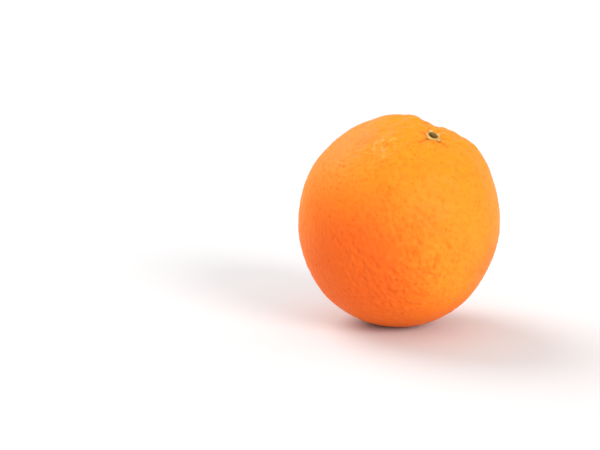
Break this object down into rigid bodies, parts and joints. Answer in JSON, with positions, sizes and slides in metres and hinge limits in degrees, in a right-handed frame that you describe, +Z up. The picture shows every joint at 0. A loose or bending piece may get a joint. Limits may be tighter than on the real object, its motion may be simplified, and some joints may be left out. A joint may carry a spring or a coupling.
{
  "type": "orange",
  "caption": "Whole round oblong fruit with pitted rind, a ribbed stem basin with a dry star calyx and cut stem stub, a small navel, and a flat spot to rest on.",
  "frame": {"origin": "middle of the flat spot that the fruit rests on", "axes": "+Z up, away from the surface it rests on; the stem end leans towards +X and -Y, so the front is seen along +Y"},
  "size_m": [0.0853, 0.0865, 0.0914],
  "materials": {
    "rind": "satin",
    "dry_calyx": "matte",
    "cut_stem": "matte"
  },
  "bodies": {
    "root": {"fruit": "rind", "calyx": "dry_calyx", "stem_stub": "cut_stem"}
  },
  "joints": []
}
